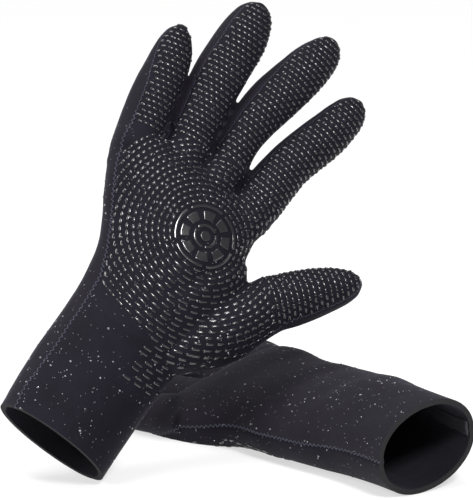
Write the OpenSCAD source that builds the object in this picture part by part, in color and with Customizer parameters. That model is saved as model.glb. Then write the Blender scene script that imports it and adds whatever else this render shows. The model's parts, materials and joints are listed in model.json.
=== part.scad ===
// A pair of neoprene sailing gloves. The left glove lies palm down on the table and
// the right glove leans over it, palm forward, standing on the edge of its cuff.
// Each glove is drawn in its own frame first: x towards the thumb, y from the cuff
// rim to the fingers, z out of the palm, origin at the centre of the cuff rim.

/* [Cuff] */
// Width of the right cuff at its rim
right_cuff_w = 67; // [56:1:80]
// Depth of the right cuff at its rim
right_cuff_d = 42; // [35:1:50]
// Width of the left cuff at its rim, which lies rounder
left_cuff_w = 60; // [50:1:72]
// Depth of the left cuff at its rim
left_cuff_d = 50; // [42:1:60]
// Length from the rim to the wrist
cuff_len = 66; // [50:1:90]

/* [Palm] */
// Width at the wrist
wrist_w = 69; // [58:1:82]
// Depth at the wrist
wrist_d = 39; // [33:1:48]
// Length from the wrist to the heel of the hand
heel_len = 34; // [25:1:42]
// Width at the heel of the hand
heel_w = 78; // [65:1:94]
// Depth at the heel of the hand
heel_d = 37; // [30:1:45]
// Length from the wrist to the bottom of the web between index and middle finger
palm_len = 127; // [105:1:155]
// Depth in the middle of the palm
palm_d = 33; // [28:1:40]
// Depth at the knuckles
knuckle_d = 27; // [23:1:33]
// How far the knuckles sit to the little-finger side of the cuff's centre
palm_drift = 17; // [8:1:22]

/* [Fingers] */
// Gap between neighbouring fingers where they leave the palm
web_gap = 1.2; // [0.8:0.2:3]
// Width of the index finger
index_w = 26; // [21:0.2:31]
// Width of the middle finger
middle_w = 25.4; // [21:0.2:31]
// Width of the ring finger
ring_w = 28; // [23:0.2:34]
// Width of the little finger
little_w = 24; // [20:0.2:29]
// Length of the index finger from its hinge to its tip
index_len = 89; // [74:1:107]
// Length of the middle finger from its hinge to its tip
middle_len = 103; // [85:1:124]
// Length of the ring finger from its hinge to its tip
ring_len = 97; // [80:1:117]
// Length of the little finger from its hinge to its tip
little_len = 68; // [56:1:82]
// Depth of a finger
finger_d = 22; // [18:0.5:26]
// Spread of the index finger, towards the thumb
index_spread = 8; // [6:0.5:12]
// Spread of the middle finger, towards the thumb
middle_spread = 4; // [3:0.5:6]
// Spread of the ring finger, away from the thumb
ring_spread = 9; // [7:0.5:11]
// Spread of the little finger, away from the thumb
little_spread = 16; // [14:0.5:20]
// How far each fingertip of the right glove curls forward
finger_curl = 6; // [0:0.5:8]

/* [Thumb] */
// Width of the thumb
thumb_w = 31; // [26:0.5:37]
// Depth of the thumb
thumb_d = 24; // [20:0.5:29]
// Length of the thumb from its hinge to its tip
thumb_len = 53; // [44:1:64]
// Length of the ball of the thumb, from its root in the palm to the hinge
thenar_len = 80; // [68:1:94]
// Angle of the ball of the right thumb from the hand's length
right_thenar_out = 29; // [25:1:34]
// Angle of the right thumb from the hand's length
right_thumb_out = 42; // [36:1:50]
// Angle of the ball of the left thumb, which is tucked in
left_thenar_out = 15.5; // [13:0.5:18]
// How far the left thumb is tucked under the palm
left_thumb_tuck = 22; // [20:1:25]
// Angle of the left thumb
left_thumb_out = 6; // [4:1:10]

/* [Fabric] */
// Thickness of the neoprene
wall = 3; // [2:0.5:4]
// Height of the rubber grip print above the fabric
print_h = 0.5; // [0.3:0.1:1]
// Width of a line of the grip print
print_w = 1.7; // [1.2:0.1:2.4]
// Spacing of the rings of the grip print round the pad of the palm
ring_pitch = 13; // [11:1:16]
// Spacing of the bars of the grip print across the fingers
bar_pitch = 13; // [11:1:18]
// Radius of the plain round pad at the middle of the palm
badge_r = 15; // [10:1:18]
// Width of the stitched seam
seam_w = 1.8; // [1.2:0.2:3]
// Height of the stitches above the fabric
seam_h = 0.4; // [0.2:0.1:0.8]
// Width of the tape glued over the seam inside
tape_w = 10; // [8:1:14]
// Thickness of that tape
tape_t = 0.4; // [0.3:0.1:0.6]
// Clearance between a finger and the palm at its hinge
hinge_gap = 0.6; // [0.4:0.1:1]

/* [Placing] */
// Rise of the right glove's length above the table
right_rise = 41.4; // [36:0.2:50]
// Direction that the right glove's length points in, from +X
right_heading = 46.1; // [40:0.1:55]
// Turn of the right glove about its own length
right_roll = 55.5; // [45:0.1:62]
// Direction that the left glove's length points in, from +X
left_heading = 122; // [115:0.5:130]
// Turn of the left glove about its own length, propped up by its thumb
left_roll = 18; // [12:1:22]
// How much the left glove's own weight flattens its underside
settle = 0.8; // [0.4:0.1:1.5]

/* [Hidden] */
FINGERS = ["thumb", "index", "middle", "ring", "little"];
HAND_PARTS = ["palm_panel", "back_panel", "palm_grip", "palm_pad", "outer_seam", "thumb_side_seam", "seam_tape"];
FINGER_PARTS = ["front", "back", "seam", "grip"];
SIDES = ["right", "left"];

far = 400;
hand_sides = 20;
finger_sides = 12;
overrun = 2;
// The plane of the hand's two seams: height over the cuff's centre, slope along and across
seam_rise = 9.4;
seam_dip = 2.7;
seam_tilt = 8.9;
// The seam of a finger: height over its middle, and slope across
finger_seam_rise = 3.3;
finger_seam_tilt = 18.6;
// How far the grip print stays off the seams, and its first and last line's reach
print_margin = 3;
print_reach = 70;
thenar_reach = 86;
// Least height over the table of the print and the stitches, which the table would wear off
layer_clear = 0.3;
neoprene_colour = [0.13, 0.13, 0.16];
panel_colour = [0.10, 0.10, 0.13];
print_colour = [0.30, 0.30, 0.34];
thread_colour = [0.16, 0.18, 0.30];
tape_colour = [0.05, 0.05, 0.06];

// ---- the glove's own frame
wrist_y = cuff_len;
heel_y = wrist_y + heel_len;
web_y = wrist_y + palm_len;
knuckle_y = web_y - 21;
mid_y = web_y - 43;
pad_at = [0.5, web_y - 46, 0];
fingers_w = index_w + middle_w + ring_w + little_w + 3 * web_gap;

function is_left(side) = side == "left";
function cuff_w(side) = is_left(side) ? left_cuff_w : right_cuff_w;
function cuff_d(side) = is_left(side) ? left_cuff_d : right_cuff_d;

// y, x of the centre, width and depth of the sections from the rim to the knuckles
function hand_sections(side) = [
    [0, -1, cuff_w(side), cuff_d(side)],
    [cuff_len / 2, -1.5, (cuff_w(side) + wrist_w) / 2, (cuff_d(side) + wrist_d) / 2 + 0.5],
    [wrist_y, -2.5, wrist_w, wrist_d],
    [heel_y, 0, heel_w, heel_d],
    [(heel_y + mid_y) / 2, -palm_drift * 0.35, (heel_w + fingers_w) / 2, (heel_d + palm_d) / 2],
    [mid_y, -palm_drift * 0.78, fingers_w * 0.965, palm_d],
    [knuckle_y, -palm_drift, fingers_w * 0.96, knuckle_d]
];

// Bases of the fingers: neighbours stand web_gap apart, counted from the web
// between index and middle finger; the y steps follow the curve of the knuckles.
web_x = 6.2;
index_base = [web_x + (web_gap + index_w) / 2, web_y - 7];
middle_base = [web_x - (web_gap + middle_w) / 2, web_y - 0.5];
ring_base = [middle_base[0] - (middle_w + ring_w) / 2 - web_gap * 0.8, web_y - 5];
little_base = [ring_base[0] - (ring_w + little_w) / 2 - web_gap * 0.8, web_y - 16];

function polar(r, angle) = [r * sin(angle), r * cos(angle)];
function thenar_out(side) = is_left(side) ? left_thenar_out : right_thenar_out;
function thumb_out(side) = is_left(side) ? left_thumb_out : right_thumb_out;
thenar_root = [20, wrist_y + 6];
function thumb_base(side) = thenar_root + polar(thenar_len, thenar_out(side));

// base [x, y], spread towards the thumb, length, width, depth
function finger_data(side, finger) =
    finger == "thumb" ? [thumb_base(side), thumb_out(side), thumb_len, thumb_w, thumb_d] :
    finger == "index" ? [index_base, index_spread, index_len, index_w, finger_d] :
    finger == "middle" ? [middle_base, middle_spread, middle_len, middle_w, finger_d] :
    finger == "ring" ? [ring_base, -ring_spread, ring_len, ring_w, finger_d] :
    [little_base, -little_spread, little_len, little_w, finger_d - 1];

// A ring of points: centre, direction across, direction up, half width, half depth
function ring_points(c, across, up, a, b, sides) = [
    for (i = [0:sides - 1])
        let (t = 360 * (i + 0.5) / sides)
        c + a * cos(t) * across + b * sin(t) * up
];

// Solid between each ring of points and the next
module skin(rings) {
    sides = len(rings[0]);
    for (i = [0:len(rings) - 2])
        hull() polyhedron(
            points = concat(rings[i], rings[i + 1]),
            faces = [[for (k = [0:sides - 1]) k], [for (k = [0:sides - 1]) 2 * sides - 1 - k]]
        );
}

// ---- solids of the hand, grown by g; an inner one runs past the openings
function hand_ring(side, s, g) = ring_points(
    [s[1], s[0] == 0 && g < 0 ? -overrun : s[0], 0],
    [1, 0, 0], [0, 0, 1], s[2] / 2 + g, s[3] / 2 + g, hand_sides);

// Height of a point of the left glove's middle plane above the table
function left_height(p) = left_at[2] + p[0] * sin(left_roll);
// Distance out of the palm at which a round section of a given depth rests on the table
function to_table(p, depth) = (left_height(p) - depth / 2) / cos(left_roll);

function base_z(side, finger) =
    finger == "thumb" ? (is_left(side) ? left_thumb_tuck : 4) :
    is_left(side) ? min(0, to_table(finger_data(side, finger)[0], finger_d)) : 0;
function tip_point(f) = f[0] + polar(f[2], f[1]);
function curl(side, finger) =
    let (f = finger_data(side, finger))
    is_left(side) ? to_table(tip_point(f), f[4] * 0.8) - base_z(side, finger) : finger_curl;

// Where a section of a finger lies: its centre, its direction across and its direction up
bend = 1.6;
function finger_frame(side, finger, s, back = 0) =
    let (
        f = finger_data(side, finger),
        out = f[1],
        rise = curl(side, finger),
        lift = s > 0 ? rise * pow(s, bend) : 0,
        pitch = s > 0 ? atan(rise * bend * pow(s, bend - 1) / f[2]) : 0
    )
    [
        concat(f[0] + polar(s * f[2] - back, out), base_z(side, finger) + lift),
        [cos(out), -sin(out), 0],
        [-sin(pitch) * sin(out), -sin(pitch) * cos(out), cos(pitch)]
    ];

function finger_ring(side, finger, s, width, depth, g, back = 0) =
    let (
        f = finger_data(side, finger),
        at = finger_frame(side, finger, s, back),
        ahead = cross(at[2], at[1])
    )
    ring_points(
        at[0] + (s == 1 ? g : 0) * ahead, at[1], at[2],
        width * f[3] / 2 + g, depth * f[4] / 2 + g, finger_sides);

// A box's cross-section standing on the seam surface, between two heights above it.
// The surface shows most on the thumb's outer side and on the other fingers' inner side.
function seam_box(finger, at, low, high) =
    let (
        tilt = finger == "thumb" ? -finger_seam_tilt : finger_seam_tilt,
        flat = at[1] * cos(tilt) - at[2] * sin(tilt),
        rise = at[2] * cos(tilt) + at[1] * sin(tilt),
        middle = at[0] + finger_seam_rise * at[2]
    )
    [
        middle - far / 8 * flat + low * rise, middle + far / 8 * flat + low * rise,
        middle + far / 8 * flat + high * rise, middle - far / 8 * flat + high * rise
    ];

// Share of the length, of the width and of the depth of each section of a finger
FINGER_SHAPE = [
    [0.35, 1.01, 0.98], [0.7, 0.98, 0.9], [0.88, 0.83, 0.73], [0.97, 0.54, 0.46], [1, 0.2, 0.2]
];
THUMB_SHAPE = [
    [0.3, 0.99, 1.0], [0.6, 0.9, 0.92], [0.84, 0.68, 0.72], [0.96, 0.44, 0.46], [1, 0.18, 0.2]
];

module finger_solid(side, finger, g)
    skin(concat(
        [finger_ring(side, finger, 0, 1, 1, g, g < 0 ? overrun : -hinge_gap)],
        [for (s = finger == "thumb" ? THUMB_SHAPE : FINGER_SHAPE) finger_ring(side, finger, s[0], s[1], s[2], g)]
    ));

// The palm's stretch that leads into a finger
module stub(side, finger, back, g)
    skin([
        finger_ring(side, finger, 0, 0.9, 1.1, g, back),
        finger_ring(side, finger, 0, 1, 1.12, g, back / 3),
        finger_ring(side, finger, 0, 1, 1, g, g < 0 ? -overrun : 0)
    ]);

// The ball of the thumb swells out of the palm and leads to the thumb's hinge
module thenar(side, g) {
    f = finger_data(side, "thumb");
    z = base_z(side, "thumb");
    turn = (thumb_out(side) + thenar_out(side)) / 2;
    skin([
        ring_points(concat(thenar_root, 0), [1, 0, 0], [0, 0, 1], thumb_w * 0.42 + g, wrist_d * 0.4 + g, finger_sides),
        ring_points(
            concat(0.45 * thenar_root + 0.55 * f[0], z / 2),
            [cos(turn), -sin(turn), 0], [0, 0, 1], thumb_w * 0.57 + g, heel_d * 0.42 + g, finger_sides),
        finger_ring(side, "thumb", 0, 1, 1, g, g < 0 ? -overrun : 0)
    ]);
}

module hand_core(side, g)
    skin([for (s = hand_sections(side)) hand_ring(side, s, g)]);

module hand_solid(side, g) {
    hand_core(side, g);
    stub(side, "index", 30, g);
    stub(side, "middle", 38, g);
    stub(side, "ring", 34, g);
    stub(side, "little", 24, g);
    thenar(side, g);
}

// The part of space that lies over the seam of a finger, between two heights above it
module over_finger_seam(side, finger, low, high)
    skin([
        seam_box(finger, finger_frame(side, finger, 0, 2 * overrun), low, high),
        for (s = [0.5, 1.2]) seam_box(finger, finger_frame(side, finger, s), low, high)
    ]);

// The same for the hand, whose two seams lie in one plane
module over_hand_seam(low, high)
    translate([0, 0, seam_rise])
        rotate([-seam_dip, seam_tilt, 0])
            translate([-far, -far, low])
                cube([2 * far, 2 * far, high - low]);

// Everything above a height over the table, for the glove that lies on it
module above_table(side, height) {
    if (is_left(side))
        translate([0, 0, (left_at[2] - height) / cos(left_roll)])
            rotate([0, -left_roll, 0])
                translate([-far, -far, -far])
                    cube([2 * far, 2 * far, far]);
    else
        cube(4 * far, center = true);
}

// Fabric between the outer and the inner surface
module hand_fabric(side)
    difference() {
        intersection() {
            hand_solid(side, 0);
            above_table(side, 0);
        }
        intersection() {
            hand_solid(side, -wall);
            above_table(side, wall);
        }
    }

module finger_fabric(side, finger)
    difference() {
        intersection() {
            finger_solid(side, finger, 0);
            above_table(side, 0);
        }
        intersection() {
            finger_solid(side, finger, -wall);
            above_table(side, wall);
        }
    }

// A layer of a given height on the outside of the fabric
module on_hand(side, height)
    difference() {
        intersection() {
            hand_solid(side, height);
            above_table(side, layer_clear);
            translate([-far, 0, -far]) cube(2 * far);
        }
        hand_solid(side, 0);
    }

module on_finger(side, finger, height)
    difference() {
        intersection() {
            finger_solid(side, finger, height);
            above_table(side, layer_clear);
        }
        finger_solid(side, finger, 0);
    }

// ---- where the gloves lie
// How far the lowest point of the right cuff's tilted rim lies under its centre
function rim_height(p) = cos(right_rise) * (p[2] * cos(right_roll) - p[0] * sin(right_roll));
rim_drop = -min([for (p = hand_ring("right", hand_sections("right")[0], 0)) rim_height(p)]);
right_at = [-97.3, -102.1, rim_drop];
left_rim_drop = norm([left_cuff_w / 2 * sin(left_roll), left_cuff_d / 2 * cos(left_roll)]);
left_at = [100.7, -119.1, left_rim_drop - settle];

module place(side) {
    if (is_left(side))
        translate(left_at)
            rotate([0, 0, left_heading - 90])
                rotate([0, 180 - left_roll, 0])
                    mirror([1, 0, 0]) children();
    else
        translate(right_at)
            rotate([0, 0, right_heading - 90])
                rotate([right_rise, 0, 0])
                    rotate([0, right_roll, 0]) children();
}

// ---- sub-parts of the hand and cuff
module palm_panel(side)
    color(neoprene_colour) place(side)
        intersection() {
            hand_fabric(side);
            over_hand_seam(0, far);
        }

module back_panel(side)
    color(panel_colour) place(side)
        intersection() {
            hand_fabric(side);
            over_hand_seam(-far, 0);
        }

module hand_seam(side)
    color(thread_colour) place(side)
        intersection() {
            on_hand(side, seam_h);
            over_hand_seam(-seam_w / 2, seam_w / 2);
            children();
        }

module outer_seam(side)
    hand_seam(side) translate([-2 * far - palm_drift, -far, -far]) cube(2 * far);

module thumb_side_seam(side)
    hand_seam(side) translate([-palm_drift, -far, -far]) cube(2 * far);

module ring_wall(inner, outer)
    difference() {
        cylinder(r = outer, h = far, $fn = 30);
        translate([0, 0, -1]) cylinder(r = inner, h = far + 2, $fn = 30);
    }

module palm_grip(side)
    color(print_colour) place(side)
        intersection() {
            on_hand(side, print_h);
            over_hand_seam(print_margin, far);
            union() {
                for (r = [badge_r + 5:ring_pitch:print_reach])
                    translate(pad_at) ring_wall(r, r + print_w);
                for (r = [print_reach + ring_pitch / 2:ring_pitch:thenar_reach])
                    intersection() {
                        translate(pad_at) ring_wall(r, r + print_w);
                        translate([pad_at[0], 0, 0]) cube([far, pad_at[1] - ring_pitch, far]);
                    }
            }
        }

module palm_pad(side)
    color(print_colour) place(side)
        intersection() {
            on_hand(side, 2 * print_h);
            translate(pad_at) union() {
                ring_wall(badge_r - 2 * print_w, badge_r);
                cylinder(r = badge_r / 2, h = far, $fn = 24);
            }
        }

module seam_tape(side)
    color(tape_colour) place(side)
        intersection() {
            difference() {
                hand_core(side, -wall);
                hand_core(side, -wall - tape_t);
            }
            above_table(side, wall);
            over_hand_seam(-tape_w / 2, tape_w / 2);
            translate([-far, 0, -far]) cube([far - palm_drift, mid_y, 2 * far]);
        }

// ---- sub-parts of a finger
module finger_front(side, finger)
    color(neoprene_colour) place(side)
        intersection() {
            finger_fabric(side, finger);
            over_finger_seam(side, finger, 0, far / 8);
        }

module finger_back(side, finger)
    color(panel_colour) place(side)
        difference() {
            finger_fabric(side, finger);
            over_finger_seam(side, finger, 0, far / 8);
        }

module finger_seam(side, finger)
    color(thread_colour) place(side)
        intersection() {
            on_finger(side, finger, seam_h);
            over_finger_seam(side, finger, -seam_w / 2, seam_w / 2);
        }

module finger_grip(side, finger) {
    length = finger_data(side, finger)[2];
    step = bar_pitch / length;
    thick = print_w / length;
    color(print_colour) place(side)
        intersection() {
            on_finger(side, finger, print_h);
            union() {
                for (s = [step / 2:step:0.88])
                    skin([for (end = [s, s + thick])
                        seam_box(finger, finger_frame(side, finger, end), print_margin, far / 8)]);
            }
        }
}

module finger_part(side, finger, part) {
    if (part == "front") finger_front(side, finger);
    if (part == "back") finger_back(side, finger);
    if (part == "seam") finger_seam(side, finger);
    if (part == "grip") finger_grip(side, finger);
}

for (side = SIDES) {
    palm_panel(side);
    back_panel(side);
    palm_grip(side);
    palm_pad(side);
    outer_seam(side);
    thumb_side_seam(side);
    seam_tape(side);
    for (finger = FINGERS, part = FINGER_PARTS)
        finger_part(side, finger, part);
}
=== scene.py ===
import json
import math
import random

import bmesh
import bpy
import numpy as np
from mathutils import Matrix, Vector, noise
from mathutils.bvhtree import BVHTree


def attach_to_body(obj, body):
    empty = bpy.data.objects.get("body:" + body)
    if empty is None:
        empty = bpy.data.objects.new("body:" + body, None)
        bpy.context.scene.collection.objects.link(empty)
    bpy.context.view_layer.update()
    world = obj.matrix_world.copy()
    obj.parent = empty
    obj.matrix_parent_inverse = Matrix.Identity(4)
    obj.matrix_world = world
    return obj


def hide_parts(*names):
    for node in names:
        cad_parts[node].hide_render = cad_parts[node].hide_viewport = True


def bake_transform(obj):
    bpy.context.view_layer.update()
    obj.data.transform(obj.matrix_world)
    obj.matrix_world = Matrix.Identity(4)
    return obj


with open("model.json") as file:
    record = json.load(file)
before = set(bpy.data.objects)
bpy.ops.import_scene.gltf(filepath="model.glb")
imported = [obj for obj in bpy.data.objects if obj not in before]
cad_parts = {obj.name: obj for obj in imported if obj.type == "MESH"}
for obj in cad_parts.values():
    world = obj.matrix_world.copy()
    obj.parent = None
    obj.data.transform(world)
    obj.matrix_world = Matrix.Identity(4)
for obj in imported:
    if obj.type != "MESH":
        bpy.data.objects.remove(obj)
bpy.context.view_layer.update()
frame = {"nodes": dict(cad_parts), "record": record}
record = frame["record"]
mounts = {m["name"]: m for m in record["mounts"]}
joints = {j["child"]: j for j in record["behaviour"]["joints"]}
mm = 0.001
sides = ["right", "left"]
print("frame loaded:", len(frame["nodes"]), "nodes")

# Each glove is shaped in its own frame, in millimetres: x to the thumb, y from the cuff's rim
# to the fingertips, z out of the palm.
hand = {
    "rimShift": 1.0, "overrun": 9, "grow": 0.4, "roundness": 2.1,
    # distance from the rim, the thumb side's x, the other side's x, depth
    "outline": {
        "right": [(0, 31.2, -36.2, 42), (16, 31.1, -37.4, 42), (33, 31, -38.4, 41), (66, 32, -38.9, 39),
                  (80, 34, -39.3, 38), (94, 37.4, -41, 37), (108, 40.6, -44, 37), (120, 43.4, -49.5, 36),
                  (128, 44.2, -54, 35), (134, 43, -57.6, 34), (139, 40, -60, 34), (143.5, 35.6, -62.4, 33.6),
                  (150, 30.4, -65.5, 33), (162, 27.4, -70, 31), (172, 26.6, -73, 27), (180, 24.6, -74, 18)],
        "left": [(0, 34.2, -29.4, 48), (20, 34.2, -30.2, 48), (40, 35, -32.4, 47.5), (57, 37, -36.4, 46),
                 (67, 36, -38.8, 44.5), (80, 34.4, -41.5, 42.5), (97, 33.6, -45, 40), (112, 33.4, -47, 38),
                 (124, 31.6, -50.8, 36.5), (136, 30.6, -57.5, 35.5), (148, 31, -63.2, 34.5),
                 (160, 30.2, -67.5, 33), (172, 29, -70.4, 28), (180, 26.6, -71.5, 18)],
    },
    # how much squarer than an oval each glove is at the knuckles, and where that sets in
    "squarer": {"right": 0.3, "left": 1.1},
    "squareFrom": 115, "squareTo": 160,
}
# the ball of the thumb: where it starts, its half widths as shares of the thumb's width, and its half depths
thenar = {
    "root": {"right": (20, 72, 0), "left": (17, 74, 8)}, "rootWidth": 0.42, "swell": 0.57, "rootDepth": 15.6,
    "depth": 15.5, "follow": 0.9,
}
# spread and lift are for the right and the left glove; root is how far the shape reaches back
fingerSizes = {
    "thumb": {"length": 53, "width": 31, "depth": 24, "spread": (42, 6), "lift": (4, 22), "root": 8},
    "index": {"length": 89, "width": 26, "depth": 22, "spread": (8, 8), "root": 30},
    "middle": {"length": 103, "width": 25.4, "depth": 22, "spread": (4, 4), "root": 38},
    "ring": {"length": 97, "width": 28, "depth": 22, "spread": (-9, -9), "root": 34},
    "little": {"length": 68, "width": 24, "depth": 21, "spread": (-16, -16), "root": 24},
}
# distance along the finger, where its thumb side and its other side lie, and the share of its depth
fingerEdges = {
    "thumb": [(0, 13.6, -17.4, 1), (8, 13, -17.8, 1), (16, 11.8, -17.8, 1), (26, 9.8, -17.2, 0.96),
              (36, 7.6, -15.4, 0.86), (43, 5.2, -13, 0.75), (48.5, 1.6, -9.6, 0.52), (51.5, -2.6, -5.4, 0.2)],
    "index": [(0, 10.6, -17.4, 1), (8, 9.8, -18.2, 1), (17, 8.7, -18.8, 1), (30, 7.8, -18.4, 0.98),
              (42, 9, -17.2, 0.97), (54, 10.8, -15.4, 0.93), (66, 11, -13.4, 0.9), (76, 10, -11.8, 0.8),
              (84, 7.6, -9.2, 0.6), (89, 3.4, -4.6, 0.3), (90.6, 0.4, -1.2, 0.15)],
    "middle": [(0, 9, -15, 1), (6, 7.8, -15.9, 1), (14, 6, -17.3, 1), (28, 5.2, -20, 0.98),
               (42, 6.4, -21.4, 0.97), (56, 8, -20.4, 0.95), (70, 9.6, -18, 0.92), (82, 10.2, -15.8, 0.85),
               (92, 9.4, -12.6, 0.72), (100, 6, -8.6, 0.5), (103.6, 2.4, -4.2, 0.25), (104.6, 0, -1.6, 0.12)],
    "ring": [(0, 13.2, -14, 1), (8, 12.2, -15, 1), (22, 12.2, -16.2, 0.99), (40, 13, -17, 0.97),
             (52, 13.8, -16.8, 0.95), (64, 14.6, -15.4, 0.92), (75, 15, -13.8, 0.87), (85, 13.4, -11.2, 0.76),
             (93, 9.8, -7.4, 0.55), (97.6, 4.6, -2.6, 0.28), (98.8, 1.8, 0, 0.14)],
    "little": [(0, 13.2, -13.6, 1), (9, 13, -13.4, 1), (20, 13.6, -12.9, 0.99), (30, 14, -11.8, 0.97),
               (40, 14.6, -10.2, 0.93), (50, 13.8, -8.8, 0.85), (58, 11.4, -7, 0.7), (64, 8.2, -4.2, 0.5),
               (67.6, 4.2, -0.4, 0.26), (68.8, 2.2, 1, 0.12)],
}
# how a finger rises along its length, the hinge's distance below the skin, and the stretch that bends
bend = {"power": 1.6, "rightRise": 6, "hingeProud": 1.2, "cutAt": 6.5, "length": 20}
# where a finger's buried root gets deeper, then thinner and narrower, as shares of the root's length
rootTaper = {"deeper": 0.1, "deepBy": 0.33, "thinner": 0.45, "thinFrom": 0.45, "narrower": 0.1}
# fingerShare: how far out of a finger's middle line, as a share of its size, is still that finger
fabric = {"wall": 3.0, "voxel": 0.9, "smoothing": 12, "clearance": 0.2, "fingerShare": 0.85}


def unit(v):
    return np.asarray(v, float) / np.linalg.norm(v)


def smoothStep(low, high, t):
    t = np.clip((t - low) / (high - low), 0, 1)
    return t * t * (3 - 2 * t)


def alongCurve(rows, at):  # smooth through rows of numbers, the first of each being where it stands
    rows = np.asarray(rows, float)
    s = rows[:, 0]
    slope = np.gradient(rows, s, axis=0)
    k = np.clip(np.searchsorted(s, at) - 1, 0, len(s) - 2)
    h = (s[k + 1] - s[k])[:, None]
    t = (np.asarray(at)[:, None] - s[k][:, None]) / h
    return ((2 * t**3 - 3 * t**2 + 1) * rows[k] + (t**3 - 2 * t**2 + t) * h * slope[k]
            + (3 * t**2 - 2 * t**3) * rows[k + 1] + (t**3 - t**2) * h * slope[k + 1])


# ---- where each glove lies
def gloveFrame(side):
    sign = 1 if side == "right" else -1
    cuff = mounts[side + "_cuff"]
    y = unit(-np.array(cuff["axis"]))
    z = unit(sign * np.cross(joints[side + "_index"]["axis"], y))
    x = sign * np.cross(y, z)
    origin = np.array(cuff["pos_m"]) + hand["rimShift"] * mm * x
    return {"side": side, "sign": sign, "axes": np.array([x, y, z]), "origin": origin}


def toWorld(glove, points):
    return glove["origin"] + (np.asarray(points, float) * mm) @ glove["axes"]


def toLocal(glove, points):
    return (np.asarray(points, float) - glove["origin"]) @ glove["axes"].T / mm


def restHeight(glove, point, depth):  # where a round section of that depth rests on the table
    up = glove["axes"][:, 2]
    return (glove["origin"][2] / mm + point[0] * up[0] + point[1] * up[1] - depth / 2) / -up[2]


def placeFingers(glove):
    glove["fingers"] = {}
    right = glove["side"] == "right"
    for name, size in fingerSizes.items():
        turn = math.radians(size["spread"][0 if right else 1])
        f = dict(size, name=name, edges=np.array(fingerEdges[name], float),
                 along=np.array([math.sin(turn), math.cos(turn), 0]),
                 across=np.array([math.cos(turn), -math.sin(turn), 0]))
        base = toLocal(glove, joints[f"{glove['side']}_{name}"]["pos_m"])
        if name == "thumb":
            if not right:
                base = base - f["across"] * (size["width"] / 2 + bend["hingeProud"])
            base[2] = size["lift"][0 if right else 1]
        else:
            base[2] += (size["depth"] / 2 + bend["hingeProud"]) * (-1 if right else 1)
        f["base"] = base
        tip = base + f["along"] * size["length"]
        f["rise"] = bend["rightRise"] if right else restHeight(glove, tip, size["depth"] * 0.8) - base[2]
        glove["fingers"][name] = f
    return glove


def fingerAt(f, t):  # middle line's shift, half width and share of the depth
    rows = alongCurve(f["edges"], np.clip(t, 0, f["edges"][-1, 0]))
    return (rows[:, 1] + rows[:, 2]) / 2, (rows[:, 1] - rows[:, 2]) / 2, rows[:, 3]


def inFinger(f, p):  # along, across and out of the palm, in millimetres from the finger's middle line
    rel = p - f["base"]
    t = rel @ f["along"]
    rise = f["rise"] * np.clip(t / f["length"], 0, 1.3) ** bend["power"]
    return t, rel @ f["across"] - fingerAt(f, t)[0], rel[:, 2] - rise


# ---- the raw shape: lofts that overlap
fingerSides = 28


def ovalRing(centre, across, up, a, b, sides=40, roundness=hand["roundness"]):
    angle = 2 * np.pi * (np.arange(sides) + 0.5) / sides
    c, s = np.cos(angle), np.sin(angle)
    power = 2 / roundness
    u = a * np.sign(c) * np.abs(c) ** power
    v = b * np.sign(s) * np.abs(s) ** power
    return np.asarray(centre, float) + np.outer(u, across) + np.outer(v, up)


def handRings(side):
    at = np.linspace(-hand["overrun"], hand["outline"][side][-1][0], 76)
    rows = alongCurve([(-hand["overrun"], *hand["outline"][side][0][1:])] + hand["outline"][side], at)
    grow = hand["grow"]
    square = hand["squarer"][side] * smoothStep(hand["squareFrom"], hand["squareTo"], at)
    rings = []
    for (y, right, left, depth), more in zip(rows, square):
        a, b = (right - left) / 2 + grow, depth / 2 + grow
        rings.append(ovalRing(((right + left) / 2, y, 0), (1, 0, 0), (0, 0, 1), a, b,
                              roundness=hand["roundness"] + more))
    return rings


def fingerRings(f):
    length, root, last = f["length"], f["root"], f["edges"][-1, 0]
    at = np.concatenate([np.linspace(-root, last * 0.84, 44), np.linspace(last * 0.85, last, 16)])
    shift, half, deep = fingerAt(f, at)
    lean = np.arctan(np.gradient(shift, at) * smoothStep(0, 8, at))
    rings = []
    for t, x, w, d, turn in zip(at, shift, half, deep, lean):
        s = max(t / length, 0)
        rise = f["rise"] * s ** bend["power"]
        pitch = math.atan(f["rise"] * bend["power"] * s ** (bend["power"] - 1) / length) if s > 0 else 0
        up = np.array([0, 0, math.cos(pitch)]) - math.sin(pitch) * f["along"]
        if f["name"] != "thumb":
            back = np.clip(-t / root, 0, 1)
            d = d + rootTaper["deeper"] * smoothStep(0, rootTaper["deepBy"], back)
            d = d - rootTaper["thinner"] * smoothStep(rootTaper["thinFrom"], 1, back)
            w = w * (1 - rootTaper["narrower"] * smoothStep(rootTaper["deepBy"], 1, back))
        centre = f["base"] + f["along"] * t + f["across"] * x + np.array([0, 0, rise])
        across = math.cos(turn) * f["across"] - math.sin(turn) * f["along"]
        a, b = w * math.cos(turn) + hand["grow"], f["depth"] / 2 * d + hand["grow"]
        rings.append(ovalRing(centre, across, up, a, b, fingerSides))
    return rings


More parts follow.
